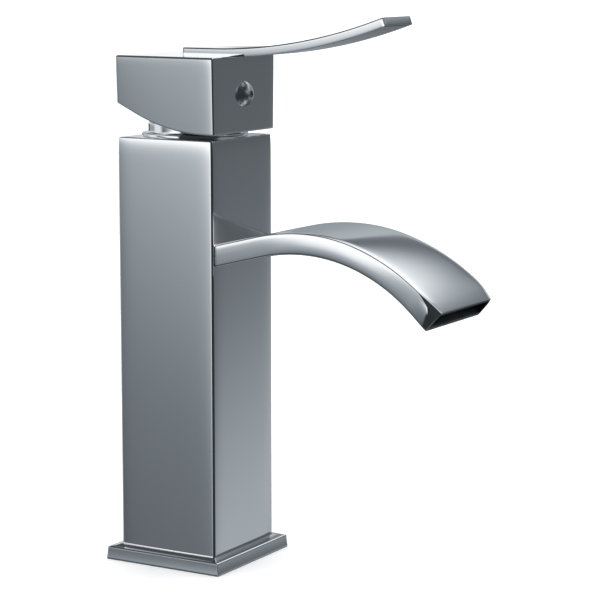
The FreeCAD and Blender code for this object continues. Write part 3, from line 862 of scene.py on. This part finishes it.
def band(stops, lean_to=None):
    """Brightness by elevation in degrees; lean_to = (bearing, slope) tilts the bands."""
    vec = (0.0, 0.0, 1.0)
    if lean_to:
        b, k = math.radians(lean_to[0]), lean_to[1]
        vec = (k * math.cos(b), k * math.sin(b), 1.0)
    z = w_dot(w_dir, vec)
    z = w_math("MINIMUM", w_math("MAXIMUM", z, -1.0), 1.0)
    el = w_math("ARCSINE", z)
    fac = w_math("ADD", w_math("MULTIPLY", el, 1 / math.pi), 0.5)
    r = wt.nodes.new("ShaderNodeValToRGB")
    r.color_ramp.interpolation = "B_SPLINE"
    e = r.color_ramp.elements
    while len(e) < len(stops):
        e.new(0.5)
    for s, (deg, v) in zip(e, stops):
        s.position = (deg + 90) / 180
        s.color = (*tone(v), 1)
    wt.links.new(fac, r.inputs["Fac"])
    return r.outputs["Color"]


def sector(under_it, over, bearing, inner, outer, below=None):
    """Lays one band over the rest round a bearing; below = (full, none) keeps it low down."""
    b = math.radians(bearing)
    n = wt.nodes.new("ShaderNodeMapRange")
    n.interpolation_type = "SMOOTHSTEP"
    n.inputs["From Min"].default_value = math.cos(math.radians(outer))
    n.inputs["From Max"].default_value = math.cos(math.radians(inner))
    wt.links.new(w_dot(AROUND, (math.cos(b), math.sin(b), 0)), n.inputs["Value"])
    fac = n.outputs[0]
    if below:
        k = wt.nodes.new("ShaderNodeMapRange")
        k.interpolation_type = "SMOOTHSTEP"
        k.inputs["From Min"].default_value = math.sin(math.radians(below[1]))
        k.inputs["From Max"].default_value = math.sin(math.radians(below[0]))
        wt.links.new(w_dot(w_dir, (0, 0, 1)), k.inputs["Value"])
        fac = w_math("MULTIPLY", fac, k.outputs[0])
    m = wt.nodes.new("ShaderNodeMix")
    m.data_type = "RGBA"
    wt.links.new(fac, m.inputs["Factor"])
    wt.links.new(under_it, m.inputs["A"])
    wt.links.new(over, m.inputs["B"])
    return m.outputs["Result"]


front = band([(-90, 0.3), (-72, 0.26), (-60, 0.08), (-45, 0.04), (-12, 0.025), (0, 0.03), (28, 0.035), (50, 0.035), (70, 0.045), (82, 0.1), (90, 0.3)])
left = band([(-90, 0.3), (-68, 0.27), (-52, 0.12), (-30, 0.08), (-14, 0.16), (-8, 0.27), (-3, 0.3), (0.2, 0.6), (1.4, 0.97), (3.2, 0.97), (4.6, 0.5), (10, 0.4), (18, 0.35), (25, 0.1), (35, 0.05), (72, 0.06), (82, 0.1), (90, 0.3)])
strip = band([(-90, 0.3), (-60, 0.22), (-40, 0.1), (-22, 0.4), (-10, 0.75), (12, 0.8), (22, 0.4), (30, 0.06), (60, 0.05), (90, 0.5)])
key = band(
    [(-90, 0.3), (-70, 0.26), (-57, 0.08), (-48, 0.03), (-28, 0.05), (-22, 0.075), (-18.5, 0.1), (-15.5, 0.128), (-11, 0.18), (-8, 0.268), (-5, 0.395), (-2.5, 0.57),
     (0.5, 0.93), (5, 1.15), (13, 1.15), (19, 0.7), (24, 0.15), (30, 0.05), (72, 0.06), (82, 0.1), (90, 0.3)],
    (326, 0.5),
)
right = band(
    [(-90, 0.3), (-68, 0.27), (-54, 0.12), (-42, 0.07), (-27, 0.1), (-21.5, 0.22), (-18, 0.35), (-15, 0.4), (-13, 0.335), (-10.5, 0.24), (-8, 0.145), (-5, 0.115), (-2, 0.105),
     (6, 0.09), (9, 0.095), (11, 0.105), (12.3, 0.165), (13.0, 0.21), (13.7, 0.3), (15.4, 0.3), (17, 0.09), (20, 0.09), (26, 0.2), (34, 0.5), (45, 0.9), (60, 0.7), (90, 0.6)],
    (328, 0.4),
)
back = band(
    [(-90, 0.3), (-68, 0.27), (-54, 0.08), (-40, 0.03), (-29, 0.03), (-20, 0.08), (-12, 0.2), (-6, 0.29), (0, 0.3), (7, 0.31), (12, 0.35), (18.2, 0.45), (19.4, 0.45), (19.9, 0.15),
     (23.5, 0.14), (26, 0.26), (28.5, 0.5), (31, 0.75), (35, 1.05), (55, 1.05), (70, 0.7), (90, 0.6)]
)
fill = band(
    [(-90, 0.3), (-72, 0.26), (-60, 0.1), (-42, 0.05), (-12, 0.025), (-4, 0.04), (2, 0.1), (10, 0.24), (30, 0.42), (60, 0.55), (90, 0.4)]
)
pit = band([(-90, 0.3), (-68, 0.24), (-56, 0.06), (-46, 0.03), (-30, 0.025), (0, 0.03), (90, 0.04)])
sky = sector(front, left, 165, 42, 48)
sky = sector(sky, key, 236, 26, 34)
sky = sector(sky, fill, 14, 8, 24)
sky = sector(sky, strip, 198, 2, 20)
sky = sector(sky, back, 92, 29.3, 30.8)
sky = sector(sky, right, 54, 14, 28)
sky = sector(sky, pit, 280, 26, 34, (-19, -14))
sky = sector(sky, pit, 139, 9, 14, (-3, 1))
wt.links.new(sky, w_bg.inputs["Color"])
w_bg.inputs["Strength"].default_value = 1.08

SCENE.view_settings.view_transform = "Standard"
SCENE.view_settings.look = "None"
SCENE.view_settings.exposure = 0.0
SCENE.view_settings.gamma = 1.0

# ---- camera ---------------------------------------------------------------------
AZ, EL, FOCAL_PX, DIST, SX, SY = math.radians(30.536), math.radians(8.878), 2248.1, 0.92586, 0.041922, 0.103998
back_v = Vector((math.sin(AZ) * math.cos(EL), -math.cos(AZ) * math.cos(EL), math.sin(EL)))
right_v = Vector((math.cos(AZ), math.sin(AZ), 0.0))
up_v = back_v.cross(right_v)
cam = bpy.data.cameras.new("camera")
cam.sensor_width = 36.0
cam.lens = FOCAL_PX / 600 * 36.0
cam.clip_start, cam.clip_end = 0.01, 200.0
cam_ob = bpy.data.objects.new("camera", cam)
rot = Matrix((right_v, up_v, back_v)).transposed()
cam_ob.matrix_world = Matrix.Translation(SX * right_v + SY * up_v + DIST * back_v) @ rot.to_4x4()
SCENE.collection.objects.link(cam_ob)
SCENE.camera = cam_ob

lo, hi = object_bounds()
